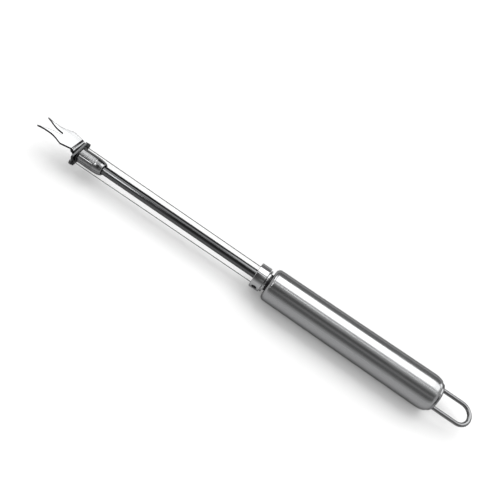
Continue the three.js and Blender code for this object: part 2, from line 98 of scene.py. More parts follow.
# Roughness of each steel, then its grain: scale along and across the tool, relief and contrast.
STEELS = {
    "handle_steel": (0.16, 14.0, 2600.0, 0.12, 0.06),
    "polished_steel": (0.09, 60.0, 3500.0, 0.05, 0.03),
    "cap_steel": (0.16, 60.0, 3500.0, 0.05, 0.03),
    # The shaft's steel is far darker than the rest: painted shade.
    "shaft_steel": (0.09, 20.0, 5000.0, 0.08, 0.06),
    "rod_steel": (0.14, 120.0, 3000.0, 0.08, 0.06),
    # Near-black steel for the bush and the nut's bore: painted shade in these hollows.
    "bush_steel": (0.4, 200.0, 2000.0, 0.1, 0.1),
    "yoke_steel": (0.22, 300.0, 900.0, 0.1, 0.1),
    "fork_steel": (0.12, 40.0, 900.0, 0.06, 0.12),
    # Near-black steel on the fork's cut edges: painted shade.
    "cut_steel": (0.45, 1500.0, 600.0, 0.3, 0.2),
    "wire_steel": (0.22, 200.0, 9000.0, 0.1, 0.08),
}

# Angles in the studio run round the tool, from the floor in front, over the top, to the floor behind.
# Each lamp: angle, reach along the tool, width, brightness and its factor, and whether it lights the floor.
LAMP_DISTANCE = 0.95
LAMPS = {
    "softbox": (119.5, (-0.1, 0.43), 0.76, "key_radiance", 1.0, True),
    "rear_softbox": (119.5, (0.43, 1.0), 0.76, "key_radiance", 0.72, True),
    "fork_softbox": (119.5, (-0.86, -0.5), 0.76, "key_radiance", 1.0, True),
    "nut_softbox": (118, (-0.5, -0.43), 1.18, "key_radiance", 2 / 3, False),
    "shaft_softbox": (112.5, (-0.43, -0.1), 0.49, "key_radiance", 0.5, False),
    "shaft_strip": (66, (-0.43, -0.34), 0.4, "strip_radiance", 4.0, False),
    "nut_strip": (41, (-0.49, -0.447), 0.1, "strip_radiance", 3.0, False),
    "strip": (85, (-0.7, 1.25), 0.06, "strip_radiance", 1.0, False),
}

# Each card: angles, reach along the tool, distance from it and finish.
CARD_STEPS = 24
CARDS = {
    "front": ((4, 76), (-1.6, 1.6), 1.3, "graded"),
    "middle": ((95, 144), (-0.56, -0.05), 1.3, "graded"),
    "back": ((144, 180), (-1.6, 1.6), 1.3, "graded"),
    "shade": ((34, 84), (-0.33, -0.02), 1.25, "dark"),
    "flag": ((125, 152), (-0.128, -0.077), 0.08, "black"),
    "panel": ((148, 172), (0.9, 1.5), 1.2, "bright"),
}
DARK_TONE, BLACK_TONE = 0.12, 0.02

# Grey tones of the graded cards by angle.
CARD_TONES = (
    (4, 0.94), (20, 0.38), (28, 0.24), (36, 0.32), (43, 0.59), (51, 0.29), (58, 0.2), (65, 0.31),
    (75, 0.92), (95, 0.18), (143, 0.18), (144, 0.59), (152, 0.42), (178, 0.45),
)


def mm(name, description, size):
    """A length property, its default given in millimetres."""
    return bpy.props.FloatProperty(
        name=name, description=description, default=size * MM, unit="LENGTH", precision=5
    )


def count(name, description, default):
    return bpy.props.IntProperty(name=name, description=description, default=default, min=3)


def tint(name, description, default):
    return bpy.props.FloatVectorProperty(
        name=name, description=description, default=default, size=3, subtype="COLOR", min=0, max=1
    )


def level(name, description, default):
    return bpy.props.FloatProperty(name=name, description=description, default=default, min=0)


def share(name, description, default):
    return bpy.props.FloatProperty(
        name=name, description=description, default=default, subtype="FACTOR", min=0, max=1
    )


class SlicerSizes(bpy.types.PropertyGroup):
    """Sizes that the solids leave open, and the fineness of round pieces"""

    wall: mm("Handle wall", "Thickness of the drawn handle tube", 1.0)
    front_radius: mm("Front radius", "Handle radius behind its front fillet", 9.55)
    front_fillet: mm("Front fillet", "Radius of the rounded front of the handle", 2.5)
    mouth_radius: mm("Front mouth", "Radius of the hole in the handle's front", 5.0)
    shoulder: mm("Rear shoulder", "Length of the handle's rounded rear end", 5.4)
    rear_mouth: mm("Rear mouth", "Radius of the hole in the handle's rear", 7.9)
    rear_lip: mm("Rear lip", "Width of the narrow flat at the handle's rear", 0.8)
    nose_radius: mm("Bush nose", "Radius of the bush where it leaves the handle", 4.8)
    cap_edge: mm("Cap edge", "Radius of the cap's rounded edge", 1.3)
    cap_thickness: mm("Cap thickness", "Thickness of the cap's flange", 1.7)
    rod_radius: mm("Loop rod", "Radius of the hanging loop's rod", 1.2)
    leg_spacing: mm("Leg spacing", "Distance between the loop's legs", 12.2)
    head_radius: mm("Leg head", "Radius of the heads inside the handle", 1.5)
    head_length: mm("Leg head length", "Length of the heads inside the handle", 1.0)
    shaft_radius: mm("Shaft", "Radius of the shaft", 2.5)
    spigot_length: mm("Spigot", "Length of the threaded front of the shaft", 18.45)
    thread_radius: mm("Thread", "Outer radius of the thread", 2.0)
    thread_depth: mm("Thread depth", "Depth of the thread", 0.36)
    thread_pitch: mm("Thread pitch", "Advance of one turn of the thread", 0.7)
    tail_length: mm("Tail", "Length of the reduced rear of the shaft", 26.0)
    anchor_radius: mm("Anchor hole", "Radius of the collar's cross holes", 1.45)
    anchor_setback: mm("Anchor place", "Cross hole's distance from the collar's front", 2.95)
    anchor_floor: mm("Anchor floor", "Cross hole's floor from the tool's axis", 4.65)
    wire_hole: mm("Wire hole", "Radius of the wire's hole in the collar", 0.5)
    grip_length: mm("Knurl length", "Length of the nut's knurled grip", 9.6)
    grip_radius: mm("Knurl radius", "Radius over the peaks of the knurl", 4.45)
    knurl_depth: mm("Knurl depth", "Depth of the knurl", 0.1)
    knurl_groove: mm("Knurl groove", "Half width of the grooves between diamonds", 0.045)
    knurl_count: count("Knurl count", "Diamonds round the nut", 40)
    tail_radius: mm("Nut tail", "Radius of the nut's rear end", 3.25)
    sleeve_depth: mm("Nut sleeve", "Depth of the bore that takes the shaft", 7.8)
    nut_mouth: mm("Nut mouth", "Radius of the countersink in the nut's rear end", 3.05)
    nut_mouth_depth: mm("Nut mouth depth", "Depth of that countersink", 1.2)
    yoke_bar: mm("Yoke bar", "Length of the yoke's straight bar", 13.6)
    yoke_corner: mm("Yoke corner", "Radius of the bar's corners", 1.2)
    ear_radius: mm("Yoke ear", "Radius of the yoke's ears", 1.7)
    bead_pocket: mm("Bead pocket", "Depth of the bead pocket in an ear", 0.85)
    sheet: mm("Fork sheet", "Thickness of the fork's sheet", 1.2)
    bend_radius: mm("Fork bend", "Inner radius of the fork's bend", 0.8)
    face_height: mm("Fork height", "Upper face of the fork over the axis", 5.7)
    foot_radius: mm("Fork foot", "Radius of the foot's round end", 3.6)
    foot_land: mm("Foot land", "Length of the foot at the fold's full width", 0.4)
    fold_width: mm("Fold width", "Width of the fork at its bend", 9.8)
    shoulder_width: mm("Fork width", "Widest place of the fork", 12.4)
    shoulder_reach: mm("Fork widest", "Widest place from the foot", 8.2)
    waist_width: mm("Tine waist", "Width over the tines at their waist", 7.8)
    waist_reach: mm("Tine waist place", "Waist of the tines from the foot", 17.6)
    tip_spacing: mm("Tine tips", "Distance between the tine tips", 8.3)
    tip_width: mm("Tip width", "Width of a tine's tip", 0.9)
    slot_width: mm("Slot width", "Width of the slot at its root", 1.6)
    slot_reach: mm("Slot root", "Root of the slot from the foot", 11.7)
    wire_radius: mm("Wire", "Radius of the cutting wires", 0.225)
    fork_edge: mm("Fork edge", "Width of the broken edges of the fork", 0.3)
    edge: mm("Broken edge", "Width of the broken edges of turned pieces", 0.12)
    shaft_chamfer: mm("Shaft chamfer", "Chamfer at both ends of the shaft", 0.4)
    collar_edge: mm("Collar edge", "Width of the collar's rounded edges", 0.35)
    collar_seat: mm("Collar seat", "Depth of the shaft's seat in the collar", 1.15)
    hole_edge: mm("Hole edge", "Width of the broken edges of the collar's holes", 0.08)
    ring_edge: mm("Ring edge", "Width of the rounded edges behind the collar", 0.2)
    nut_chamfer: mm("Nut chamfer", "Chamfer at the nut's front", 0.3)
    knurl_sink: mm("Knurl sink", "Depth of the knurled band inside the nut", 0.3)
    yoke_edge: mm("Yoke edge", "Width of the yoke's broken edges", 0.15)
    fork_turn: bpy.props.FloatProperty(
        name="Fork turn",
        description="Turn of the fork about the shaft",
        default=math.radians(-8.6),
        subtype="ANGLE",
    )
    facets: count("Facets", "Facets of the large round pieces", 160)
    fine_facets: count("Fine facets", "Facets of the small round pieces", 64)
    wire_facets: count("Wire facets", "Facets of wires and thread", 24)


class SlicerFinishes(bpy.types.PropertyGroup):
    """Colours of the finishes"""

    handle_steel: tint("Handle steel", "Satin steel of the handle", (0.245, 0.247, 0.25))
    polished_steel: tint("Polished steel", "Steel of the fittings", (0.306, 0.308, 0.312))
    cap_steel: tint("Cap steel", "Pressed steel of the rear cap", (0.17, 0.171, 0.174))
    # Painted shade: the shaft and its thread are far darker than the other steel, standing for darker
    # reflections along them.
    shaft_steel: tint("Shaft steel", "Dark drawn steel of the shaft", (0.085, 0.086, 0.088))
    rod_steel: tint("Rod steel", "Bent rod of the hanging loop", (0.145, 0.146, 0.148))
    nut_steel: tint("Nut steel", "Steel of the knurled nut", (0.17, 0.171, 0.173))
    # Painted shade: near-black steel stands for the shade on the bush in its groove and inside the nut's
    # bore.
    bush_steel: tint("Bush steel", "Dark steel of the bush in the groove", (0.034, 0.034, 0.035))
    yoke_steel: tint("Yoke steel", "Stamped plate of the yoke", (0.064, 0.065, 0.066))
    fork_steel: tint("Fork steel", "Polished sheet of the fork", (0.247, 0.249, 0.251))
    # Painted shade: the fork's cut edges are near-black to stand for the shade on them.
    cut_steel: tint("Cut steel", "Sheared edges of the fork", (0.017, 0.017, 0.018))
    wire_steel: tint("Wire steel", "Drawn wire", (0.128, 0.129, 0.131))
    washer_black: tint("Washer black", "Black washer behind the yoke", (0.012, 0.012, 0.013))


class SlicerStudio(bpy.types.PropertyGroup):
    """Floor, lamps and camera"""

    floor_colour: tint("Floor", "Pale studio floor", (0.55, 0.55, 0.55))
    room_radiance: level("Room", "Light that the room gives the floor", 1.3)
    floor_roughness: share("Floor roughness", "Roughness of the floor", 0.9)
    floor_glow: share("Floor glow", "Whitening of the floor as seen", 0.05)
    key_radiance: level("Key", "Brightness of the softboxes", 3.88)
    strip_radiance: level("Strip", "Brightness of the strips", 2.47)
    lens: level("Lens", "Focal length in millimetres", 43.2)
    sensor: level("Sensor", "Width of the camera's sensor in millimetres", 36.0)
    camera_place: bpy.props.FloatVectorProperty(
        name="Camera place",
        description="Where the camera stands, in the tool's frame",
        default=(0.01446, -0.16502, 0.28433),
        size=3,
        subtype="TRANSLATION",
    )
    camera_turn: bpy.props.FloatVectorProperty(
        name="Camera turn",
        description="The camera's rotation",
        default=[math.radians(a) for a in (29.557, -14.987, 31.366)],
        size=3,
        subtype="EULER",
    )


def only(kind, geometry):
    """The vertices or the edges in what a mesh operator returned."""
    return [item for item in geometry if isinstance(item, kind)]


def swept(mesh, geometry, centre, axis, angle, steps, **more):
    """Spins geometry round an axis and returns what ends up last."""
    turned = bmesh.ops.spin(mesh, geom=geometry, cent=centre, axis=axis, angle=angle, steps=steps, **more)
    return turned["geom_last"]


def sizes():
    return bpy.context.scene.slicer_sizes


def finishes():
    return bpy.context.scene.slicer_finishes


class Pen:
    """Draws edges in one plane: straight strokes, arcs and soft curves."""

    def __init__(self, start, normal, mesh=None):
        self.mesh = bmesh.new() if mesh is None else mesh
        self.normal = normal
        self.move(start)

    def move(self, start):
        self.tip = self.mesh.verts.new(start)
        return self

    def line(self, *points):
        for point in points:
            self.tip = bmesh.ops.extrude_vert_indiv(self.mesh, verts=[self.tip])["verts"][0]
            self.tip.co = point
        return self

    def arc(self, centre, angle, segments):
        turned = swept(self.mesh, [self.tip], centre, self.normal, angle, segments)
        self.tip = only(VERT, turned)[0]
        return self

    def curve(self, knots, segments):
        """A soft curve from the pen's tip through two handles to an end."""
        return self.line(*interpolate_bezier(self.tip.co, *knots, segments + 1)[1:])


class HalfSection(Pen):
    """Draws the half section of a turned piece, x along the tool and r from its axis, and spins it."""

    def __init__(self, x, r, centre=(0, AXIS)):
        self.centre = Vector((0, *centre))
        super().__init__(self.at(x, r), (0, 1, 0))

    def at(self, x, r):
        return self.centre + Vector((x, 0, r))

    def to(self, *points):
        return self.line(*[self.at(x, r) for x, r in points])

    def round(self, x, r, degrees, segments=CORNER_STEPS):
        return self.arc(self.at(x, r), math.radians(degrees), segments)

    def bend(self, x, r, segments=CURVE_STEPS):
        """A quarter bend that leaves along the tool and arrives across it."""
        start, end = self.tip.co.copy(), self.at(x, r)
        pull = 4 / 3 * (math.sqrt(2) - 1)
        leaving = start + pull * Vector((end.x - start.x, 0, 0))
        arriving = end + pull * Vector((0, 0, start.z - end.z))
        return self.curve([leaving, arriving, end], segments)

    def spin(self, facets):
        bmesh.ops.remove_doubles(self.mesh, verts=self.mesh.verts, dist=WELD)
        outline = self.mesh.verts[:] + self.mesh.edges[:]
        swept(self.mesh, outline, self.centre, (1, 0, 0), 2 * math.pi, facets, use_merge=True)
        return closed(self.mesh)


def plain_ring(node, bore, facets):
    """A ring that fills a solid's length and height."""
    front, rear = span(node)
    outer = half_height(node)
    section = HalfSection(front, bore).to((front, outer), (rear, outer), (rear, bore), (front, bore))
    return section.spin(facets)


def closed(mesh):
    bmesh.ops.remove_doubles(mesh, verts=mesh.verts, dist=WELD)
    bmesh.ops.recalc_face_normals(mesh, faces=mesh.faces)
    return mesh


def break_edges(mesh, width, angle=40, segments=2, finish=None):
    """Rounds every edge that is sharper than an angle. The rounding may have a finish of its own."""
    sharp = [e for e in mesh.edges if len(e.link_faces) == 2 and e.calc_face_angle(0) > math.radians(angle)]
    made = bmesh.ops.bevel(
        mesh, geom=sharp, offset=width, affect="EDGES", segments=segments, profile=0.5, material=-1
    )
    if finish is not None:
        for face in made["faces"]:
            face.material_index = finish
    return mesh


def add_bar(mesh, place, turn, radius, length, facets):
    """Adds a plain round bar, turned from upright."""
    bmesh.ops.create_cone(
        mesh,
        cap_ends=True,
        segments=facets,
        radius1=radius,
        radius2=radius,
        depth=length,
        matrix=Matrix.Translation(place) @ turn,
    )
    return mesh


def barrel(first, last, radius, place, facets):
    """A round bar along the tool, used to drill a hole."""
    return add_bar(bmesh.new(), ((first + last) / 2, *place), ALONG, radius, last - first, facets)


def new_object(name, mesh):
    data = bpy.data.meshes.new(name)
    mesh.to_mesh(data)
    mesh.free()
    piece = bpy.data.objects.new(name, data)
    bpy.context.scene.collection.objects.link(piece)
    return piece


def drilled(mesh, cutters):
    """The mesh less every cutter."""
    work = new_object("work", mesh)
    drills = [new_object("drill", cutter) for cutter in cutters]
    for drill in drills:
        cut = work.modifiers.new("drill", "BOOLEAN")
        cut.object = drill
        cut.operation = "DIFFERENCE"
        cut.solver = "EXACT"
    return settled(work, drills)


def settled(work, tools=()):
    """The mesh that an object's modifiers give. The object and its tools are removed."""
    shown = work.evaluated_get(bpy.context.evaluated_depsgraph_get())
    result = bmesh.new()
    result.from_mesh(shown.to_mesh())
    shown.to_mesh_clear()
    for spare in (work, *tools):
        data = spare.data
        bpy.data.objects.remove(spare)
        bpy.data.meshes.remove(data)
    return result


def add_piece(name, mesh, material, body, nodes, sharp=32):
    """Makes the finished object, sets its finish and shading, and fastens it to its body."""
    bmesh.ops.dissolve_degenerate(mesh, dist=SLIVER, edges=mesh.edges)
    piece = new_object(name, mesh)
    piece.data.materials.append(material)
    piece.data.shade_smooth()
    piece.data.set_sharp_from_angle(angle=math.radians(sharp))
    weighted = piece.modifiers.new("flat faces stay flat", "WEIGHTED_NORMAL")
    weighted.keep_sharp = True
    if body:
        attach(piece, body)
    if nodes:
        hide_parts(*nodes)
    return piece


class NodeDesk:
    """Short hand for building a node tree."""

    def __init__(self, tree):
        self.tree = tree

    def put(self, socket, value):
        """Links another node's output to a socket, or sets the socket's value."""
        if isinstance(value, bpy.types.NodeSocket):
            self.tree.links.new(value, socket)
        else:
            socket.default_value = value

    def node(self, kind, inputs=None, **settings):
        made = self.tree.nodes.new(kind)
        for name, value in settings.items():
            setattr(made, name, value)
        for name, value in (inputs or {}).items():
            self.put(made.inputs[name], value)
        return made

    def math(self, operation, a, b):
        return self.node("ShaderNodeMath", {0: a, 1: b}, operation=operation).outputs[0]

    def mix(self, factor, a, b):
        made = self.node("ShaderNodeMix", data_type="RGBA")
        for name, value in (("Factor_Float", factor), ("A_Color", a), ("B_Color", b)):
            self.put(next(s for s in made.inputs if s.identifier == name), value)
        return next(s for s in made.outputs if s.identifier == "Result_Color")

    def remap(self, value, low, high, start=0.0, end=1.0):
        inputs = {"Value": value, "From Min": start, "From Max": end, "To Min": low, "To Max": high}
        return self.node("ShaderNodeMapRange", inputs).outputs["Result"]

    def group(self, tree, inputs):
        return self.node("ShaderNodeGroup", inputs, node_tree=tree).outputs

    def bump(self, strength, distance, height):
        inputs = {"Strength": strength, "Distance": distance, "Height": height}
        return self.node("ShaderNodeBump", inputs).outputs["Normal"]

    def principled(self, inputs):
        """Ends a material with its one shader."""
        shader = self.node("ShaderNodeBsdfPrincipled", inputs)
        self.node("ShaderNodeOutputMaterial", {"Surface": shader.outputs["BSDF"]})

    def metal(self, tone, gloss, normal):
        look = {"Base Color": tone, "Metallic": 1.0, "Roughness": gloss, "Normal": normal}
        self.principled({**look, "Specular Tint": STEEL_EDGE})

    def glow(self, inputs):
        """Ends a material as plain light."""
        light = self.node("ShaderNodeEmission", inputs)
        self.node("ShaderNodeOutputMaterial", {"Surface": light.outputs["Emission"]})


def new_group(name, inputs, outputs):
    """A shader node group with named sockets. Gives its desk, its input node and its output node."""
    tree = bpy.data.node_groups.new(name, "ShaderNodeTree")
    for label, value in inputs.items():
        socket = tree.interface.new_socket(label, in_out="INPUT", socket_type="NodeSocketFloat")
        socket.default_value = value
    for label in outputs:
        tree.interface.new_socket(label, in_out="OUTPUT", socket_type="NodeSocketFloat")
    desk = NodeDesk(tree)
    return desk, desk.node("NodeGroupInput"), desk.node("NodeGroupOutput")


def grain_group():
    """Fine lines drawn along the tool, as brushing and drawing leave them."""
    name = "Lengthwise Grain"
    if name in bpy.data.node_groups:
        return bpy.data.node_groups[name]
    desk, given, result = new_group(name, {"Along": 20.0, "Across": 2500.0}, ["Lines", "Streaks"])
    place = desk.node("ShaderNodeTexCoord").outputs["Object"]
    along, across = given.outputs["Along"], given.outputs["Across"]

    def lines(coarser, detail):
        fine = desk.math("DIVIDE", across, coarser)
        scale = desk.node("ShaderNodeCombineXYZ", {"X": along, "Y": fine, "Z": fine}).outputs[0]
        stretched = desk.node("ShaderNodeVectorMath", {0: place, 1: scale}, operation="MULTIPLY")
        noise = desk.node(
            "ShaderNodeTexNoise",
            {"Vector": stretched.outputs[0], "Scale": 1.0, "Detail": detail, "Roughness": 0.6},
        )
        return noise.outputs["Fac"]

    desk.tree.links.new(lines(1.0, 3.0), result.inputs["Lines"])
    desk.tree.links.new(lines(6.0, 2.0), result.inputs["Streaks"])
    return desk.tree


def handling_group():
    """Faint smears and specks that handling leaves on bare metal."""
    name = "Handling Marks"
    if name in bpy.data.node_groups:
        return bpy.data.node_groups[name]
    desk, given, result = new_group(name, {"Size": 90.0}, ["Smears", "Specks"])
    place = desk.node("ShaderNodeTexCoord").outputs["Object"]
    smear = desk.node(
        "ShaderNodeTexNoise",
        {"Vector": place, "Scale": given.outputs["Size"], "Detail": 4.0, "Distortion": 0.8},
    )
    soft = desk.remap(smear.outputs["Fac"], 0.0, 1.0, 0.42, 0.72)
    fine = desk.math("MULTIPLY", given.outputs["Size"], 22.0)
    speck = desk.node("ShaderNodeTexNoise", {"Vector": place, "Scale": fine, "Detail": 2.0})
    spots = desk.remap(speck.outputs["Fac"], 0.0, 1.0, 0.62, 0.78)
    desk.tree.links.new(soft, result.inputs["Smears"])
    desk.tree.links.new(spots, result.inputs["Specks"])
    return desk.tree


def new_material(name):
    material = bpy.data.materials.new(name)
    material.use_nodes = True
    material.node_tree.nodes.clear()
    return material, NodeDesk(material.node_tree)


def tinted(colour, factor):
    return (*(min(1.0, channel * factor) for channel in colour), 1.0)


def steel(kind):
    """Bare steel: grain along the tool, smears in its gloss and a little relief."""
    name = kind.replace("_", " ")
    if name in bpy.data.materials:
        return bpy.data.materials[name]
    roughness, along, across, relief, contrast = STEELS[kind]
    colour = getattr(finishes(), kind)
    material, desk = new_material(name)
    grain = desk.group(grain_group(), {"Along": along, "Across": across})
    marks = desk.group(handling_group(), {})
    tone = desk.mix(grain["Streaks"], tinted(colour, 1 - contrast), tinted(colour, 1 + contrast))
    tone = desk.mix(desk.math("MULTIPLY", marks["Specks"], contrast), tone, tinted(colour, 0.6))
    gloss = desk.remap(grain["Lines"], roughness * 0.8, roughness * 1.3, 0.3, 0.7)
    gloss = desk.math("ADD", gloss, desk.math("MULTIPLY", marks["Smears"], 0.35 * roughness))
    desk.metal(tone, gloss, desk.bump(relief, GRAIN_RELIEF, grain["Lines"]))
    return material


def nut_finish():
    """Steel that is lighter and glossier on the knurl's peaks and darker and rougher between them; the darker
    grooves are painted shade.
    """
    colour = finishes().nut_steel
    material, desk = new_material("knurled steel")
    peaks = desk.node("ShaderNodeAttribute", attribute_name=PEAKS).outputs["Fac"]
    marks = desk.group(handling_group(), {"Size": 300.0})
    peak_wear_and_groove_shade = desk.remap(peaks, 0.0, 1.0, 0.05, 0.75)
    # Darker colour down in the knurl's grooves is painted shade.
    tone = desk.mix(peak_wear_and_groove_shade, tinted(colour, 0.85), tinted(colour, 1.25))
    tone = desk.mix(desk.math("MULTIPLY", marks["Smears"], 0.25), tone, tinted(colour, 0.5))
    gloss = desk.math("ADD", desk.remap(peak_wear_and_groove_shade, 0.3, 0.08), desk.math("MULTIPLY", marks["Smears"], 0.05))
    desk.metal(tone, gloss, desk.bump(0.15, GRAIN_RELIEF, marks["Specks"]))
    return material


def washer_finish():
    """Dull black with faint smears."""
    black = finishes().washer_black
    material, desk = new_material("black washer")
    marks = desk.group(handling_group(), {"Size": 260.0})
    tone = desk.mix(marks["Smears"], tinted(black, 0.8), tinted(black, 2.0))
    gloss = desk.remap(marks["Smears"], 0.42, 0.6)
    relief = desk.bump(0.2, WASHER_RELIEF, marks["Specks"])
    desk.principled({"Base Color": tone, "Roughness": gloss, "Normal": relief})
    return material


class SLICER_OT_handle(bpy.types.Operator):
    """Turn the handle tube, its front bush and its rear cap"""

    bl_idname = "slicer.handle"
    bl_label = "Handle"

    def execute(self, context):
        self.add_tube()
        self.add_bush()
        self.add_cap()
        return {"FINISHED"}

    def add_tube(self):
        s = sizes()
        front, rear = span("handle_shell")
        shoulder = rear - s.shoulder
        corner = s.front_radius - s.front_fillet
        section = HalfSection(front, s.mouth_radius).to((front, corner))
        section.round(front + s.front_fillet, corner, 90).to((shoulder, AXIS))
        section.bend(rear, s.rear_mouth + s.rear_lip)
        section.to((rear, s.rear_mouth), (rear - s.wall, s.rear_mouth))
        section.to((shoulder, AXIS - s.wall), (front + s.front_fillet, s.front_radius - s.wall))
        section.to((front + s.wall, corner), (front + s.wall, s.mouth_radius), (front, s.mouth_radius))
        tube = break_edges(section.spin(s.facets), s.edge)
        add_piece("handle_tube", tube, steel("handle_steel"), HANDLE, ["handle_shell"])

    def add_bush(self):
        s = sizes()
        front, rear = span("handle_front_bush")
        lip = span("handle_shell")[0]
        inside = lip + s.wall + SEAT_PLAY
        skirt = half_height("handle_front_bush")
        bore = s.thread_radius + RUNNING_PLAY
        section = HalfSection(front, bore).to((front, s.nose_radius), (inside, s.nose_radius))
        section.to((inside, skirt - s.front_fillet / 2), (inside + s.front_fillet / 2, skirt))
        section.to((rear, skirt), (rear, bore), (front, bore))
        bush = break_edges(section.spin(s.fine_facets), s.edge)
        # The bush is near-black: painted shade in the groove in front of the handle.
        add_piece("handle_bush", bush, steel("bush_steel"), HANDLE, ["handle_front_bush"])

    def add_cap(self):
        s = sizes()
        front, rear = span("handle_rear_cap")
        rim = half_height("handle_rear_cap")
        flange = rear - s.cap_thickness
        plug = s.rear_mouth - SEAT_PLAY
        section = HalfSection(front, 0).to((front, plug), (flange, plug), (flange, rim))
        section.to((rear - s.cap_edge, rim)).round(rear - s.cap_edge, rim - s.cap_edge, 90)
        cap = section.to((rear, 0)).spin(s.facets)
        bore = s.rod_radius + SEAT_PLAY
        legs = [
            barrel(front - MM, rear + MM, bore, (side * s.leg_spacing / 2, AXIS), s.fine_facets)
            for side in (NEAR, FAR)
        ]
        cap = break_edges(drilled(cap, legs), s.edge / 2, angle=HOLE_ANGLE)
        add_piece("handle_cap", cap, steel("cap_steel"), HANDLE, ["handle_rear_cap"])


class SLICER_OT_hang_loop(bpy.types.Operator):
    """Bend the hanging loop and head its legs"""

    bl_idname = "slicer.hang_loop"
    bl_label = "Hanging loop"

    def execute(self, context):
        s = sizes()
        front, rear = span("hang_loop")
        half = s.leg_spacing / 2
        bend = rear - s.rod_radius - half
        mesh = bmesh.new()
        start = Matrix.Translation((front, -half, AXIS)) @ ALONG
        bmesh.ops.create_circle(
            mesh, cap_ends=True, radius=s.rod_radius, segments=s.wire_facets, matrix=start
        )
        section = drawn_out(mesh, mesh.edges[:], Vector((bend - front, 0, 0)))
        turned = swept(mesh, section, (bend, 0, AXIS), (0, 0, 1), math.pi, s.fine_facets // 2)
        section = drawn_out(mesh, only(EDGE, turned), Vector((front - bend, 0, 0)))
        bmesh.ops.edgeloop_fill(mesh, edges=only(EDGE, section))
        for side in (NEAR, FAR):
            head = (front + s.head_length / 2, side * half, AXIS)
            add_bar(mesh, head, ALONG, s.head_radius, s.head_length, s.wire_facets)
        bmesh.ops.recalc_face_normals(mesh, faces=mesh.faces)
        add_piece("hanging_loop", mesh, steel("rod_steel"), HANDLE, ["hang_loop"])
        return {"FINISHED"}


def drawn_out(mesh, edges, step):
    """Extrudes an edge ring by a step and returns the new ring's edges and vertices."""
    made = bmesh.ops.extrude_edge_only(mesh, edges=edges)["geom"]
    ring = only(VERT, made)
    bmesh.ops.translate(mesh, verts=ring, vec=step)
    return ring + [e for e in only(EDGE, made) if set(e.verts) <= set(ring)]


class SLICER_OT_shaft(bpy.types.Operator):
    """Turn the shaft, cut its thread and finish its nut and washer inside the handle"""

    bl_idname = "slicer.shaft"
    bl_label = "Shaft"

    def execute(self, context):
        s = sizes()
        front, rear = span("shaft")
        shoulder = front + s.spigot_length
        seat = rear - s.tail_length
        core = s.thread_radius - s.thread_depth
        chamfer = s.shaft_chamfer
        section = HalfSection(front, 0).to((front, core - chamfer), (front + chamfer, core))
        section.to((shoulder, core), (shoulder, s.shaft_radius), (seat, s.shaft_radius))
        section.to((seat, s.thread_radius), (rear - chamfer, s.thread_radius))
        section.to((rear, s.thread_radius - chamfer), (rear, 0))
        bar = break_edges(section.spin(s.fine_facets), s.edge)
        # The shaft and its thread take the darkened steel: painted shade.
        add_piece("shaft_bar", bar, steel("shaft_steel"), HANDLE, ["shaft"])
        thread = self.thread(front + chamfer, shoulder - s.thread_pitch)
        add_piece("spigot_thread", thread, steel("shaft_steel"), HANDLE, [])
        for node in ("tail_washer", "tail_nut"):
            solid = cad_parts[node]
            solid.data.materials.clear()
            solid.data.materials.append(steel("polished_steel"))
        return {"FINISHED"}

    def thread(self, first, last):
        """A ridge wound round the spigot."""
        s = sizes()
        root, crest = s.thread_radius - THREAD_SINK * s.thread_depth, s.thread_radius
        width, flat = s.thread_pitch * RIDGE_WIDTH, s.thread_pitch / CREST_PARTS
        section = HalfSection(first, root).to((first + width / 2 - flat / 2, crest))
        section.to((first + width / 2 + flat / 2, crest), (first + width, root), (first, root))
        mesh = section.mesh
        bmesh.ops.remove_doubles(mesh, verts=mesh.verts, dist=WELD)
        turns = int((last - first) / s.thread_pitch) - 1
        steps = turns * s.wire_facets
        rim = mesh.edges[:]
        bmesh.ops.edgeloop_fill(mesh, edges=rim)
        angle, step = turns * 2 * math.pi, (s.thread_pitch / s.wire_facets, 0, 0)
        wound = swept(mesh, rim + mesh.verts[:], (0, 0, AXIS), (1, 0, 0), angle, steps, dvec=step)
        bmesh.ops.edgeloop_fill(mesh, edges=only(EDGE, wound))
        bmesh.ops.recalc_face_normals(mesh, faces=mesh.faces)
        return mesh


class SLICER_OT_collar(bpy.types.Operator):
    """Turn and drill the wire collar and turn the ring behind it"""

    bl_idname = "slicer.collar"
    bl_label = "Wire collar"

    def execute(self, context):
        s = sizes()
        front, rear = span("wire_collar")
        outer = half_height("wire_collar")
        bore, seat = s.thread_radius + RUNNING_PLAY, s.shaft_radius + RUNNING_PLAY
        floor = front + s.collar_seat
        section = HalfSection(front, seat).to((front, outer), (rear, outer), (rear, bore))
        section.to((floor, bore), (floor, seat), (front, seat))
        collar = break_edges(section.spin(s.facets), s.collar_edge, segments=4)
        wires = (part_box("rear_stop_far")[0].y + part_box("rear_stop_far")[1].y) / 2
        cutters = []
        for side in (NEAR, FAR):
            wire_end = front + s.anchor_setback
            cutters.append(self.cross_hole(wire_end, side, outer))
            cutters.append(barrel(front - MM, wire_end, s.wire_hole, (side * wires, AXIS), s.wire_facets))
        collar = break_edges(drilled(collar, cutters), s.hole_edge, angle=HOLE_ANGLE)
        add_piece("collar_ring", collar, steel("polished_steel"), HANDLE, ["wire_collar"])
        ring = break_edges(plain_ring("collar_spacer", bore, s.facets), s.ring_edge, segments=3)
        add_piece("spacer_ring", ring, steel("polished_steel"), HANDLE, ["collar_spacer"])
        return {"FINISHED"}

    def cross_hole(self, x, side, outer):
        s = sizes()
        depth = outer + MM - s.anchor_floor
        place = (x, side * (s.anchor_floor + depth / 2), AXIS)
        return add_bar(bmesh.new(), place, ACROSS, s.anchor_radius, depth, s.fine_facets)


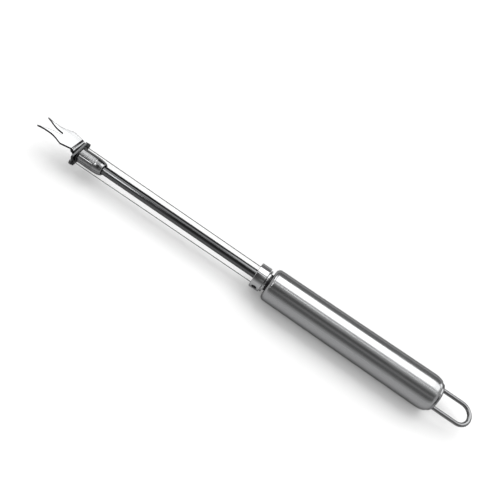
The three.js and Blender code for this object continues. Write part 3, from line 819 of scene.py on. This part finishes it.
class SLICER_OT_tension_nut(bpy.types.Operator):
    """Turn the tension nut and knurl its grip"""

    bl_idname = "slicer.tension_nut"
    bl_label = "Tension nut"

    def execute(self, context):
        s = sizes()
        front, rear = span("tension_nut")
        grip = front + s.grip_length
        root = s.grip_radius - s.knurl_depth
        bore, sleeve = s.thread_radius + RUNNING_PLAY, s.shaft_radius + RUNNING_PLAY
        chamfer = s.nut_chamfer
        neck = s.grip_radius - s.knurl_depth / 2
        core = root - chamfer / 4
        section = HalfSection(front, bore).to((front, root - chamfer), (front + chamfer, core))
        section.to((grip, core), (grip, neck)).bend(rear, s.tail_radius)
        section.to((rear, s.nut_mouth), (rear - s.nut_mouth_depth, sleeve))
        section.to((rear - s.sleeve_depth, sleeve), (rear - s.sleeve_depth, bore))
        body = break_edges(section.to((front, bore)).spin(s.fine_facets), s.edge / 2)
        sheen = body.verts.layers.float.new(PEAKS)
        for vert in body.verts:
            vert[sheen] = TURNED_SHEEN
        # Faces inside the nut's mouth and bore take the second, near-black material: painted shade in the
        # hollow.
        for face in body.faces:
            centre = face.calc_center_median()
            face.material_index = int(math.hypot(centre.y, centre.z - AXIS) < s.nut_mouth)
        knurl = bpy.data.meshes.new("grip")
        grip_band = self.knurl(front + chamfer, grip)
        grip_band.to_mesh(knurl)
        grip_band.free()
        body.from_mesh(knurl)
        bpy.data.meshes.remove(knurl)
        piece = add_piece("knurled_nut", body, nut_finish(), NUT, ["tension_nut"])
        piece.data.materials.append(steel("bush_steel"))
        return {"FINISHED"}

    def knurl(self, first, last):
        """A band of raised diamonds: squares, split at their centres, joined across sides and inset."""
        s = sizes()
        root = s.grip_radius - s.knurl_depth
        pitch = 2 * math.pi * s.grip_radius / s.knurl_count
        rows = round((last - first) / pitch)
        section = HalfSection(first, root)
        section.to(*[(first + (last - first) * (row + 1) / rows, root) for row in range(rows)])
        mesh = section.spin(s.knurl_count)
        height = mesh.verts.layers.float.new(PEAKS)
        squares = [e for e in mesh.edges if len(e.link_faces) == 2]
        bmesh.ops.poke(mesh, faces=mesh.faces[:])
        bmesh.ops.dissolve_edges(mesh, edges=squares)
        diamonds = [f for f in mesh.faces if len(f.verts) == 4]
        bmesh.ops.inset_individual(mesh, faces=diamonds, thickness=s.knurl_groove, depth=s.knurl_depth)
        for vert in {v for diamond in diamonds for v in diamond.verts}:
            vert[height] = 1.0
        rims = [e for e in mesh.edges if len(e.link_faces) == 1]
        made = bmesh.ops.extrude_edge_only(mesh, edges=rims)["geom"]
        shrink = (root - s.knurl_sink) / root
        centre = Matrix.Translation((0, 0, -AXIS))
        bmesh.ops.scale(mesh, verts=only(VERT, made), vec=(1, shrink, shrink), space=centre)
        bmesh.ops.bridge_loops(mesh, edges=[e for e in mesh.edges if len(e.link_faces) == 1])
        return closed(mesh)


class SLICER_OT_fork(bpy.types.Operator):
    """Stamp the yoke, bend the fork and add the black washer"""

    bl_idname = "slicer.fork"
    bl_label = "Fork and yoke"

    def execute(self, context):
        self.add_washer()
        self.add_yoke()
        self.add_fork()
        return {"FINISHED"}

    def add_washer(self):
        s = sizes()
        bore = s.thread_radius + RUNNING_PLAY
        washer = break_edges(plain_ring("thrust_washer", bore, s.fine_facets), s.edge)
        add_piece("washer_black", washer, washer_finish(), CARRIAGE, ["thrust_washer"])

    def add_yoke(self):
        s = sizes()
        front, rear = span("wire_yoke")
        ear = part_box("wire_yoke")[1].y - s.ear_radius
        half, top = s.yoke_bar / 2, half_height("wire_yoke")
        inner, shoulder = half - s.yoke_corner, top - s.yoke_corner
        sweep = math.acos((half - ear) / s.ear_radius)
        neck = s.ear_radius * math.sin(sweep)

        def at(y, z):
            return Vector((front, y, AXIS + z))

        pen = Pen(at(half, -neck), (1, 0, 0))
        for side in (FAR, NEAR):
            pen.arc(at(side * ear, 0), 2 * sweep, EAR_STEPS).line(at(side * half, side * shoulder))
            pen.arc(at(side * inner, side * shoulder), math.pi / 2, CORNER_STEPS)
            pen.line(at(-side * inner, side * top))
            pen.arc(at(-side * inner, side * shoulder), math.pi / 2, CORNER_STEPS)
            pen.line(at(-side * half, side * neck))
        mesh = pen.mesh
        bmesh.ops.remove_doubles(mesh, verts=mesh.verts, dist=WELD)
        bmesh.ops.edgeloop_fill(mesh, edges=mesh.edges[:])
        made = bmesh.ops.extrude_face_region(mesh, geom=mesh.faces[:])["geom"]
        bmesh.ops.translate(mesh, verts=only(VERT, made), vec=(rear - front, 0, 0))
        bmesh.ops.recalc_face_normals(mesh, faces=mesh.faces)
        break_edges(mesh, s.yoke_edge, segments=3)
        bore = s.thread_radius + RUNNING_PLAY
        cutters = [barrel(front - MM, rear + MM, bore, (0, AXIS), s.fine_facets)]
        for place in ("near", "far"):
            low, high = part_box(f"front_stop_{place}")
            y, radius = (low.y + high.y) / 2, (high.y - low.y) / 2
            pocket = radius + SEAT_PLAY
            cutters.append(barrel(front - MM, front + s.bead_pocket, pocket, (y, AXIS), s.wire_facets))
            cutters.append(barrel(front - MM, rear + MM, 2 * s.wire_radius, (y, AXIS), s.wire_facets))
        yoke = drilled(mesh, cutters)
        add_piece("yoke_plate", yoke, steel("yoke_steel"), CARRIAGE, ["wire_yoke"])

    def add_fork(self):
        s = sizes()
        rear = span("fork_plate")[1]
        middle = AXIS + s.face_height - s.sheet / 2
        fold = rear - s.bend_radius - s.sheet
        bend = middle - s.bend_radius - s.sheet / 2
        mesh = self.half_blade(rear, fold, middle)
        half = mesh.verts[:] + mesh.edges[:] + mesh.faces[:]
        bmesh.ops.mirror(mesh, geom=half, axis="Y", merge_dist=SLIVER)
        crease = [e for e in mesh.edges if all(abs(v.co.x - fold) < WELD for v in e.verts)]
        folded = crease + list({v for e in crease for v in e.verts})
        swept(mesh, folded, (fold, 0, bend), (0, 1, 0), math.pi / 2, FOLD_STEPS)
        self.add_foot(mesh, rear - s.sheet / 2, bend)
        fork = self.thickened(closed(mesh))
        # The fork's edges take the near-black steel: painted shade.
        break_edges(fork, s.fork_edge, angle=HOLE_ANGLE, segments=3, finish=CUT_EDGE)
        bore = s.thread_radius + RUNNING_PLAY
        fork = drilled(fork, [barrel(rear - 2 * s.sheet, rear + MM, bore, (0, AXIS), s.fine_facets)])
        turn = Matrix.Rotation(s.fork_turn, 3, "X")
        bmesh.ops.rotate(fork, verts=fork.verts, cent=(0, 0, AXIS), matrix=turn)
        sheet = steel("fork_steel")
        piece = add_piece("fork_sheet", fork, sheet, CARRIAGE, ["fork_plate"])
        piece.data.materials.append(steel("cut_steel"))

    def half_blade(self, rear, fold, height):
        """One half of the blade, bridged from its outer edge to its middle line and slot."""
        s = sizes()
        tip, slot, nib_width = s.tip_spacing / 2, s.slot_width / 2, s.tip_width / 2
        shoulder, waist = s.shoulder_width / 2, s.waist_width / 2
        reach = rear - span("fork_plate")[0]
        nib = reach - nib_width / 2
        root = s.slot_reach + slot
        flare = (s.waist_reach - s.shoulder_reach) / 2
        run = (nib - s.waist_reach) / 2
        crown = tip + nib_width / 2

        def at(distance, y):
            return Vector((rear - distance, y, height))

        start = rear - fold
        pen = Pen(at(start, s.fold_width / 2), (0, 0, 1))
        hip = at(s.shoulder_reach + flare / 2, shoulder - (shoulder - waist) / 4)
        pen.line(at((start + s.shoulder_reach) / 2, (s.fold_width / 2 + shoulder) / 2))
        pen.line(at(s.shoulder_reach, shoulder))
        pen.curve([hip, at(s.waist_reach - flare, waist), at(s.waist_reach, waist)], CURVE_STEPS)
        lean = at(s.waist_reach + run, waist)
        side = at(nib, tip + nib_width)
        pen.curve([lean, lean.lerp(side, 0.4), side], CURVE_STEPS)
        pen.curve([at(reach, tip + nib_width), at(reach, crown), at(reach, crown)], TIP_STEPS)
        pen.move(at(start, 0)).line(at((start + s.slot_reach) / 2, 0), at(s.slot_reach, 0))
        pull = slot * 0.55
        pen.curve([at(s.slot_reach, pull), at(root - pull, slot), at(root, slot)], CURVE_STEPS)
        inner = at(s.waist_reach + run, tip - s.tip_width)
        pen.curve([at(s.waist_reach, slot), inner, at(nib, tip)], CURVE_STEPS)
        pen.curve([at(reach, tip), at(reach, crown), at(reach, crown)], TIP_STEPS)
        bmesh.ops.bridge_loops(pen.mesh, edges=pen.mesh.edges[:])
        bmesh.ops.remove_doubles(pen.mesh, verts=pen.mesh.verts, dist=WELD)
        return pen.mesh

    def add_foot(self, mesh, x, top):
        """The foot below the fork's bend, which narrows along tangents to a round end."""
        s = sizes()
        half, land = s.fold_width / 2, top - AXIS - s.foot_land
        side = math.atan2(land, half) - math.acos(s.foot_radius / math.hypot(half, land))
        blade = set(mesh.edges)
        centre = Vector((x, 0, AXIS))
        rim = s.foot_radius * Vector((0, math.cos(side), math.sin(side)))
        pen = Pen(Vector((x, half, top)), (1, 0, 0), mesh)
        pen.line(centre + Vector((0, half, land)), centre + rim).arc(centre, -math.pi - 2 * side, FOOT_STEPS)
        pen.line(centre + Vector((0, -half, land)))
        pen.line(Vector((x, -half, top)), Vector((x, 0, top)), Vector((x, half, top)))
        corners = {v for e in mesh.edges if e not in blade for v in e.verts}
        bmesh.ops.remove_doubles(mesh, verts=list(corners), dist=WELD)
        bmesh.ops.edgeloop_fill(mesh, edges=[e for e in mesh.edges if e not in blade])

    def thickened(self, mesh):
        """The fork's sheet, grown to both sides of its middle surface, its cut edges in near-black steel as
        painted shade.
        """
        work = new_object("sheet", mesh)
        for finish in (steel("fork_steel"), steel("cut_steel")):
            work.data.materials.append(finish)
        grow = work.modifiers.new("sheet", "SOLIDIFY")
        grow.thickness = sizes().sheet
        grow.offset = 0
        grow.use_even_offset = True
        grow.material_offset_rim = CUT_EDGE
        return settled(work)


class SLICER_OT_wires(bpy.types.Operator):
    """String the cutting wires and crimp their beads"""

    bl_idname = "slicer.wires"
    bl_label = "Cutting wires"

    def execute(self, context):
        s = sizes()
        for place, side in (("near", NEAR), ("far", FAR)):
            low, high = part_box(f"wire_{place}")
            outside, inside = max(abs(low.y), abs(high.y)), min(abs(low.y), abs(high.y))
            start = Vector((low.x, side * (outside - s.wire_radius), AXIS))
            end = Vector((high.x, side * (inside + s.wire_radius), AXIS))
            along = (end - start).to_track_quat("Z", "Y").to_matrix().to_4x4()
            length = (end - start).length
            wire = add_bar(bmesh.new(), (start + end) / 2, along, s.wire_radius, length, s.wire_facets)
            finish = steel("wire_steel")
            piece = add_piece(f"cutting_wire_{place}", wire, finish, None, [f"wire_{place}"])
            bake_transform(piece)
            self.bead(f"front_stop_{place}", f"front_bead_{place}", CARRIAGE)
            self.bead(f"rear_stop_{place}", f"rear_bead_{place}", HANDLE)
        return {"FINISHED"}

    def bead(self, node, name, body):
        """A short sleeve, pinched in its middle where it was crimped."""
        s = sizes()
        low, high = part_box(node)
        radius = (high.z - low.z) / 2
        bore = BEAD_BORE * s.wire_radius
        waist = BEAD_WAIST * radius
        middle, pinch = (low.x + high.x) / 2, (high.x - low.x) / PINCH_PARTS
        section = HalfSection(low.x, bore, centre=((low.y + high.y) / 2, AXIS))
        section.to((low.x, radius), (middle - pinch, radius), (middle, waist), (middle + pinch, radius))
        section.to((high.x, radius), (high.x, bore), (low.x, bore))
        bead = break_edges(section.spin(s.wire_facets), s.edge, angle=HOLE_ANGLE)
        add_piece(name, bead, steel("rod_steel"), body, [node])


class SLICER_OT_studio(bpy.types.Operator):
    """Lay the pale floor, hang the lamps and cards and set the camera"""

    bl_idname = "slicer.studio"
    bl_label = "Studio"

    def execute(self, context):
        context.scene.view_settings.view_transform = "Standard"
        self.add_floor(context)
        self.add_room(context)
        self.add_cards(context)
        self.add_lamps(context)
        self.add_camera(context)
        return {"FINISHED"}

    def seen(self, desk):
        """1 for what the camera sees, straight or mirrored."""
        path = desk.node("ShaderNodeLightPath").outputs
        mirrored = desk.math("MAXIMUM", path["Is Glossy Ray"], path["Is Transmission Ray"])
        return desk.math("MAXIMUM", path["Is Camera Ray"], mirrored)

    def add_floor(self, context):
        studio = context.scene.slicer_studio
        mesh = bmesh.new()
        bmesh.ops.create_grid(mesh, x_segments=1, y_segments=1, size=FLOOR_SIZE)
        material, desk = new_material("pale floor")
        desk.principled(
            {
                "Base Color": (*studio.floor_colour, 1.0),
                "Roughness": studio.floor_roughness,
                "Specular IOR Level": 0.0,
                "Emission Color": WHITE,
                "Emission Strength": desk.math("MULTIPLY", self.seen(desk), studio.floor_glow),
            }
        )
        floor = new_object("studio_floor", mesh)
        floor.data.materials.append(material)

    def add_room(self, context):
        studio = context.scene.slicer_studio
        world = bpy.data.worlds.new("studio room")
        world.use_nodes = True
        world.node_tree.nodes.clear()
        desk = NodeDesk(world.node_tree)
        light = desk.remap(self.seen(desk), studio.room_radiance, 1.0)
        shade = desk.node("ShaderNodeBackground", {"Color": WHITE, "Strength": light})
        desk.node("ShaderNodeOutputWorld", {"Surface": shade.outputs["Background"]})
        context.scene.world = world

    def add_cards(self, context):
        """Grey and dark cards along the tool, a black flag by the fork's bend and a bright panel."""
        tones = {"dark": DARK_TONE, "black": BLACK_TONE, "bright": context.scene.slicer_studio.key_radiance}
        cards = {name: self.plain_card(f"{name} card", tone) for name, tone in tones.items()}
        cards["graded"] = self.graded_card()
        for name, ((low, high), (first, last), distance, finish) in CARDS.items():
            pen = Pen(Vector((first, -distance, 0)), (1, 0, 0)).line(Vector((last, -distance, 0)))
            mesh = pen.mesh
            lift = Matrix.Rotation(math.radians(-low), 3, "X")
            bmesh.ops.rotate(mesh, verts=mesh.verts, cent=(0, 0, 0), matrix=lift)
            line = mesh.verts[:] + mesh.edges[:]
            swept(mesh, line, (0, 0, 0), pen.normal, math.radians(low - high), CARD_STEPS)
            self.stage_card(f"studio_card_{name}", mesh, cards[finish])

    def stage_card(self, name, mesh, material):
        card = new_object(name, mesh)
        card.data.materials.append(material)
        card.visible_camera = False
        card.visible_shadow = False
        card.visible_diffuse = False

    def plain_card(self, name, tone):
        material, desk = new_material(name)
        desk.glow({"Strength": tone})
        return material

    def graded_card(self):
        """Grey tones by the angle round the tool, from the floor in front to the floor behind."""
        material, desk = new_material("grey card")
        place = desk.node("ShaderNodeTexCoord").outputs["Object"]
        parts = desk.node("ShaderNodeSeparateXYZ", {"Vector": place}).outputs
        angle = desk.math("ARCTAN2", parts["Z"], desk.math("MULTIPLY", parts["Y"], -1.0))
        ramp = desk.node("ShaderNodeValToRGB", {"Fac": desk.math("DIVIDE", angle, math.pi)})
        stops = ramp.color_ramp.elements
        for degrees, tone in CARD_TONES:
            stop = stops.new(degrees / 180)
            stop.color = (tone, tone, tone, 1.0)
        stops.remove(stops[0])
        stops.remove(stops[-1])
        desk.glow({"Color": ramp.outputs["Color"], "Strength": 1.0})
        return material

    def add_lamps(self, context):
        studio = context.scene.slicer_studio
        for name, (angle, (first, last), width, source, factor, lights_floor) in LAMPS.items():
            length = last - first
            data = bpy.data.lights.new(name, "AREA")
            data.shape = "RECTANGLE"
            data.size, data.size_y = length, width
            data.energy = getattr(studio, source) * factor * math.pi * length * width
            lamp = bpy.data.objects.new(name, data)
            context.scene.collection.objects.link(lamp)
            a = math.radians(angle)
            place = ((first + last) / 2, -math.cos(a) * LAMP_DISTANCE, math.sin(a) * LAMP_DISTANCE)
            lamp.matrix_world = Matrix.Translation(place) @ Matrix.Rotation(math.pi / 2 - a, 4, "X")
            lamp.visible_diffuse = lights_floor

    def add_camera(self, context):
        studio = context.scene.slicer_studio
        data = bpy.data.cameras.new("photo_view")
        data.sensor_fit = "HORIZONTAL"
        data.sensor_width = studio.sensor
        data.lens = studio.lens
        data.clip_start = CLIP_START
        camera = bpy.data.objects.new("photo_view", data)
        camera.location = studio.camera_place
        camera.rotation_euler = studio.camera_turn
        context.scene.collection.objects.link(camera)
        context.scene.camera = camera


STEPS = (
    SLICER_OT_handle,
    SLICER_OT_hang_loop,
    SLICER_OT_shaft,
    SLICER_OT_collar,
    SLICER_OT_tension_nut,
    SLICER_OT_fork,
    SLICER_OT_wires,
    SLICER_OT_studio,
)


class SLICER_PT_panel(bpy.types.Panel):
    """Lists the steps that build the slicer"""

    bl_idname = "SLICER_PT_panel"
    bl_label = "Wire Cheese Slicer"
    bl_space_type = "VIEW_3D"
    bl_region_type = "UI"
    bl_category = "Slicer"

    def draw(self, context):
        for step in STEPS:
            self.layout.operator(step.bl_idname)


GROUPS = {"slicer_sizes": SlicerSizes, "slicer_finishes": SlicerFinishes, "slicer_studio": SlicerStudio}
CLASSES = (*GROUPS.values(), *STEPS, SLICER_PT_panel)


def register():
    for cls in CLASSES:
        bpy.utils.register_class(cls)
    for name, group in GROUPS.items():
        setattr(bpy.types.Scene, name, bpy.props.PointerProperty(type=group))


def unregister():
    for name in GROUPS:
        delattr(bpy.types.Scene, name)
    for cls in reversed(CLASSES):
        bpy.utils.unregister_class(cls)


def main():
    register()
    bpy.ops.slicer.handle()
    bpy.ops.slicer.hang_loop()
    bpy.ops.slicer.shaft()
    bpy.ops.slicer.collar()
    bpy.ops.slicer.tension_nut()
    bpy.ops.slicer.fork()
    bpy.ops.slicer.wires()
    bpy.ops.slicer.studio()


if __name__ == "__main__":
    main()
